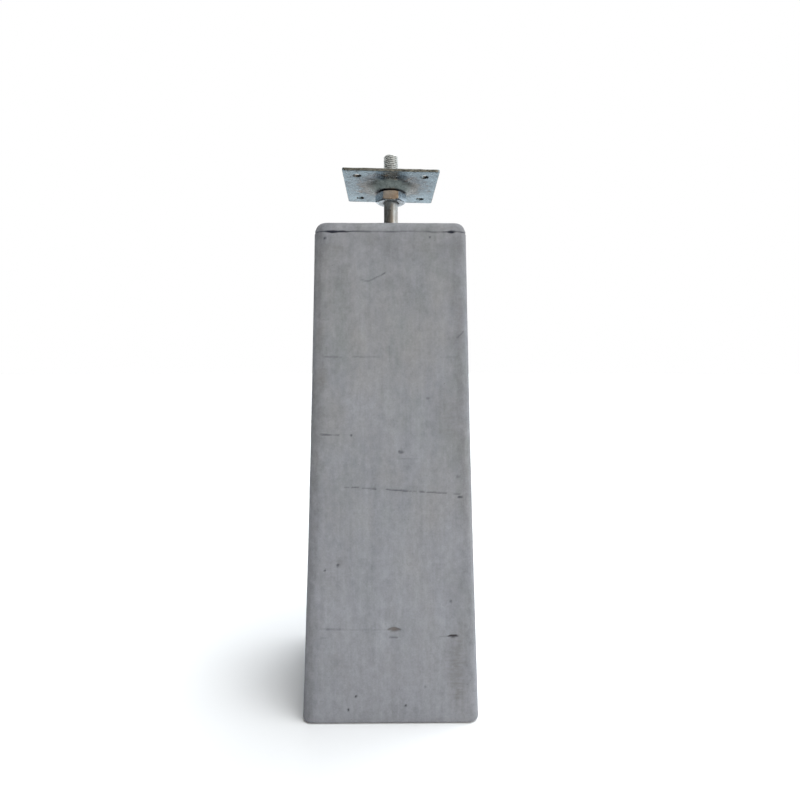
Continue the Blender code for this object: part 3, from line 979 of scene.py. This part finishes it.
def plate_material():
    """The plate's worn zinc, with painted reflections round the dish, painted shade by the nut and
    in the screw holes, torn along the sheared edge.

    across and deep follow the plate where it is turned and shifted.
    """
    look, colour, dull = zinc("zinc_plate", *PLATE_ZINC, 0.30)
    across = look.calc("ADD", look.axis("X"), look.times(look.axis("Y"), PLATE_YAW))
    across = look.calc("SUBTRACT", across, PLATE_SHIFT)
    deep = look.calc("SUBTRACT", look.axis("Y"), look.times(look.axis("X"), PLATE_YAW))
    middle = look.length(across, deep)
    scuffs = look.noise(170, 5, 0.68, (1, 1.6, 1), seed=4.1, distortion=0.6)
    colour = look.mix(colour, PLATE_SCUFF, look.times(look.span(scuffs, 0.40, 0.66), 0.45))
    specks = look.span(look.noise(300, 4, 0.7, seed=11.9, distortion=0.8), 0.53, 0.63)
    worn = look.span(across, *WORN_ACROSS, 0.95, 0.25)
    colour = look.mix(colour, PLATE_SPECK, look.times(specks, worn))
    colour = look.mix(colour, PLATE_DULL, look.times(dull, 0.6))
    wander = look.span(look.noise(110, 4, 0.6, seed=2.8), 0.3, 0.7, -4 * MM, 4 * MM)
    ragged = look.calc("ADD", middle, wander)
    facing = look.span(deep, *DARK_REFLECTION_DEEP, 1.0, 0.25)
    # Painted reflection: a dark ring round the dish, strongest towards the front
    ring = look.band(ragged, DARK_REFLECTION_IN, DARK_REFLECTION_OUT)
    colour = look.mix(colour, PLATE_DARK_REFLECTION, look.times(look.times(ring, facing), 0.75))
    # Painted reflection: the dish wall lighter and greener, and less metallic
    pressed = look.span(ragged, *LIGHT_REFLECTION_OUT, 0.95, 0.0)
    drawn = look.mix(*PLATE_LIGHT_REFLECTION, look.span(look.noise(200, 4, 0.65), 0.34, 0.62))
    # Painted reflection: the dish wall darker at the sides
    sideways = look.span(look.calc("ABSOLUTE", across), *SIDEWAYS)
    drawn = look.mix(drawn, PLATE_SIDE_REFLECTION, look.times(sideways, 0.90))
    colour = look.mix(colour, drawn, pressed)
    # Painted reflection: a dark band round the dish's rim at the sides
    rim = look.band(ragged, RIM_REFLECTION_IN, RIM_REFLECTION_OUT)
    colour = look.mix(colour, PLATE_RIM_REFLECTION, look.times(look.times(rim, sideways), 0.80))
    # Painted shade: a near-black ring on the dish's underside round the nut's top
    below = look.span(look.axis("Z"), PLATE_LOW.z + 2.2 * MM, PLATE_LOW.z + 2.8 * MM, 1.0, 0.0)
    gap_shade = look.times(look.span(middle, *GAP_SHADE_OUT, 1.0, 0.0), below)
    colour = look.mix(colour, PLATE_GAP_SHADE, gap_shade)
    # Painted reflection: brown patches in the dark ring
    brown = look.span(look.noise(85, 3, 0.6, seed=21.5), 0.56, 0.68)
    colour = look.mix(colour, PLATE_BROWN_REFLECTION, look.times(look.times(brown, ring), 0.7))
    # Painted shade in the screw holes' walls, patchy
    ways = [look.calc("ABSOLUTE", offset) for offset in (across, deep)]
    hole = look.length(*[look.calc("SUBTRACT", way, SCREW_HOLE_OFFSET) for way in ways])
    start = SCREW_HOLE_RADIUS + 0.1 * MM
    hole_shade = look.span(hole, start, start + 0.3 * MM, 1.0, 0.0)
    mottled = look.span(look.noise(260, 3, 0.6, seed=8.8), 0.40, 0.55, 0.15, 0.95)
    colour = look.mix(colour, PLATE_HOLE_SHADE, look.times(hole_shade, mottled))
    start = PLATE_HALF - 0.8 * MM
    sheared = look.span(look.calc("MAXIMUM", *ways), start, start + 0.4 * MM)
    torn = look.span(look.noise(300, 4, 0.7, (1, 1, 1.6), seed=3.3), 0.36, 0.64)
    edge = look.mix(*PLATE_TORN, torn)
    # Less metallic on the sheared edge and where the dish wall has its painted lighter reflection
    sheared_edge_and_dish = look.calc("MAXIMUM", pressed, sheared)
    look.feed(Base_Color=look.mix(colour, edge, sheared))
    look.feed(Metallic=look.span(sheared_edge_and_dish, 0.0, 1.0, 0.80, 0.30))
    return look.material


# Linear colours of the nut and the rod
NUT_ZINC = ((0.52, 0.59, 0.64), (0.34, 0.40, 0.45))
NUT_STAIN = (0.33, 0.26, 0.18)
NUT_TAN = ((0.86, 0.57, 0.31), (0.60, 0.37, 0.19))
# Painted dark reflections on the nut's underside
NUT_DARK_REFLECTION = (0.05, 0.045, 0.04)
# Painted shade on the nut's top and in its bore's mouth
NUT_PAINTED_SHADE = (0.018, 0.018, 0.020)
ROD_ZINC = ((0.47, 0.52, 0.54), (0.37, 0.37, 0.35))
ROD_TARNISH = (0.42, 0.32, 0.245)
ROD_DIRT = (0.16, 0.13, 0.10)
# Painted light on the rod's end above the plate
ROD_PAINTED_LIGHT = (0.76, 0.76, 0.73)
# Painted shade in the rod's thread and under the nut
ROD_PAINTED_SHADE = (0.040, 0.036, 0.033)
# How far the tan on the nut's front reaches across, and the dirt up the rod's foot
NUT_TAN_ACROSS = (7.8 * MM, 8.8 * MM)
ROD_DIRT_HEIGHT = 12 * MM


def nut_material():
    """The nut's bright zinc: tan on the front flat, painted dark reflections below, painted shade
    on top and inside.
    """
    look, colour, _ = zinc("zinc_nut", *NUT_ZINC, 0.18, 75.0)
    stain = look.span(look.noise(90, 3, 0.6, seed=4.9), 0.50, 0.75)
    colour = look.mix(colour, NUT_STAIN, look.times(stain, 0.30))
    # A tan colour, less metallic, on the front flat only
    front = -NUT_HALF_FLATS
    flat = look.span(look.axis("Y"), front - 1 * MM, front + 1.6 * MM, 1.0, 0.0)
    narrow = look.span(look.calc("ABSOLUTE", look.axis("X")), *NUT_TAN_ACROSS, 1.0, 0.0)
    mottled = look.mix(*NUT_TAN, look.span(look.noise(240, 4, 0.6), 0.40, 0.68))
    tan_front = look.times(flat, narrow)
    colour = look.mix(colour, mottled, tan_front)
    look.feed(Metallic=look.span(tan_front, 0.0, 1.0, 0.95, 0.30))
    # Painted reflection: dark squiggles over the nut's underside
    reflected_squiggles = look.noise(330, 3, 0.6, seed=1.4, distortion=1.5)
    reflected_squiggles = look.span(reflected_squiggles, 0.47, 0.54, 0.0, 0.85)
    under = look.span(look.axis("Z"), NUT_LOW.z + 0.6 * MM, NUT_LOW.z + 1.2 * MM, 1.0, 0.0)
    colour = look.mix(colour, NUT_DARK_REFLECTION, look.times(reflected_squiggles, under))
    # Painted shade on the nut's top and in its bore's mouth
    look.feed(Base_Color=look.mix(colour, NUT_PAINTED_SHADE, look.stored("top_and_mouth_shade")))
    return look.material


def rod_material():
    """The rod's dull zinc: tarnished, dirty at its foot, painted lighter at its end above the plate
    where it stands in the light, painted shade in its thread and under the nut.
    """
    look, colour, _ = zinc("zinc_rod", *ROD_ZINC, 0.32, 80.0)
    tarnish = look.span(look.noise(70, 4, 0.6, (1, 1, 0.30), seed=7.4), 0.40, 0.66)
    colour = look.mix(colour, ROD_TARNISH, look.times(tarnish, 0.60))
    foot = look.span(look.axis("Z"), BLOCK_TOP, BLOCK_TOP + ROD_DIRT_HEIGHT, 0.75, 0.0)
    dirt = look.span(look.noise(260, 4, 0.6, seed=5.8), 0.38, 0.62)
    colour = look.mix(colour, ROD_DIRT, look.times(foot, dirt))
    # Painted light: the rod lighter and less metallic up its end above the plate, where it stands
    # out of the plate's shade
    lit_stub = look.span(look.axis("Z"), NUT_HIGH.z, PLATE_TOP)
    colour = look.mix(colour, ROD_PAINTED_LIGHT, look.times(lit_stub, 0.9))
    look.feed(Metallic=look.span(lit_stub, 0.0, 1.0, 0.95, 0.55))
    # Painted shade in the thread's roots and under the nut
    look.feed(Base_Color=look.mix(colour, ROD_PAINTED_SHADE, look.stored("thread_shade")))
    return look.material


def floor_material():
    look = Shader("floor_pale", Roughness=0.9, Specular_IOR_Level=0.2)
    tone = look.span(look.noise(3, 3), 0.3, 0.7)
    look.feed(Base_Color=look.mix((0.955, 0.955, 0.955), (0.965, 0.965, 0.965), tone))
    return look.material


# Stage, light and camera

FLOOR_RADIUS = 30
FLOOR_CORNERS = 48
FLOOR_Z = -0.5 * MM
KEY_POWER = 7
KEY_PLACE = (1.6, -1.2, 1.6)
KEY_TARGET = (0, 0, 0.3)
KEY_SIZE = (1.0, 1.4)
KEY_COLOUR = (1.0, 0.99, 0.97)
# The surround's strength at the far left and far right, its factors in front and overhead, and
# the parts of each axis, from -1 to 1, over which they change
SURROUND_ACROSS = (0.05, 1.25)
SURROUND_FRONT = 0.48
SURROUND_ABOVE = 3.6
ACROSS_SPAN = (-0.45, 0.50)
FRONT_SPAN = (-0.95, -0.45)
ABOVE_SPAN = (0.45, 0.95)
SURROUND_WARM = (1.0, 0.84, 0.66)
SURROUND_COOL = (0.93, 0.97, 1.0)
# The photograph's view, fitted to the block's outline and the plate's corners
CAMERA_PLACE = (0.005, -0.584, 0.357)
CAMERA_PITCH = math.radians(86.4)
CAMERA_YAW = math.radians(-0.5)
CAMERA_LENS = 23.1
CAMERA_SENSOR = 36


def make_stage():
    """A wide pale floor."""
    angles = np.arange(FLOOR_CORNERS) / FLOOR_CORNERS * 2 * math.pi
    flat = FLOOR_RADIUS * np.column_stack([np.cos(angles), np.sin(angles)])
    faces = [tuple(range(FLOOR_CORNERS))]
    stage = mesh_object("studio_floor", level_row(flat, FLOOR_Z), faces, floor_material())


def key_light():
    """One soft light from the upper right."""
    data = bpy.data.lights.new("light_key", "AREA")
    data.shape = "RECTANGLE"
    data.size, data.size_y = KEY_SIZE
    data.energy = KEY_POWER
    data.color = KEY_COLOUR
    light = bpy.data.objects.new("light_key", data)
    light.location = KEY_PLACE
    aim = Vector(KEY_TARGET) - Vector(KEY_PLACE)
    light.rotation_euler = aim.to_track_quat("-Z", "Y").to_euler()
    bpy.context.scene.collection.objects.link(light)


def light_surround():
    """A surround brighter at the right and above, darker and warmer in front, seen as white."""
    world = bpy.data.worlds.new("surround")
    world.use_nodes = True
    sky = Graph(world.node_tree, "Generated")
    smooth = "SMOOTHSTEP"
    across = sky.span(sky.axis("X"), *ACROSS_SPAN, *SURROUND_ACROSS, smooth)
    front = sky.span(sky.axis("Y"), *FRONT_SPAN, 0.0, 1.0, smooth)
    above = sky.span(sky.axis("Z"), *ABOVE_SPAN, 1.0, SURROUND_ABOVE, smooth)
    strength = sky.times(across, sky.span(front, 0, 1, SURROUND_FRONT, 1.0, smooth))
    lit = sky.nodes["Background"]
    sky.put(lit.inputs["Color"], sky.mix(SURROUND_WARM, SURROUND_COOL, front))
    sky.put(lit.inputs["Strength"], sky.times(strength, above))
    seen = sky.nodes.new("ShaderNodeBackground")
    seen.inputs["Color"].default_value = (1, 1, 1, 1)
    either = sky.nodes.new("ShaderNodeMixShader")
    camera_ray = sky.nodes.new("ShaderNodeLightPath").outputs["Is Camera Ray"]
    for socket, value in zip(either.inputs, (camera_ray, lit.outputs[0], seen.outputs[0])):
        sky.put(socket, value)
    sky.put(sky.nodes["World Output"].inputs["Surface"], either.outputs[0])
    bpy.context.scene.world = world
    bpy.context.scene.view_settings.view_transform = "Standard"
    bpy.context.scene.view_settings.look = "None"


def place_camera():
    """The photograph's view: from the front, a little below the plate, turned slightly right."""
    data = bpy.data.cameras.new("camera")
    data.sensor_width = CAMERA_SENSOR
    data.lens = CAMERA_LENS
    data.clip_start = 0.01
    camera = bpy.data.objects.new("camera", data)
    camera.location = CAMERA_PLACE
    camera.rotation_euler = (CAMERA_PITCH, 0, CAMERA_YAW)
    bpy.context.scene.collection.objects.link(camera)
    bpy.context.scene.camera = camera


place_camera()
key_light()
light_surround()
make_stage()

block = make_block(concrete_material())
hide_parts("concrete_block")
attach(block, "pier")

rod = make_rod(rod_material())
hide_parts("threaded_rod")
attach(rod, "pier")

nut = make_nut(nut_material())
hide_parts("adjusting_nut")
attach(nut, "nut")

plate = make_plate(plate_material())
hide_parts("bearing_plate")
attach(plate, "plate")
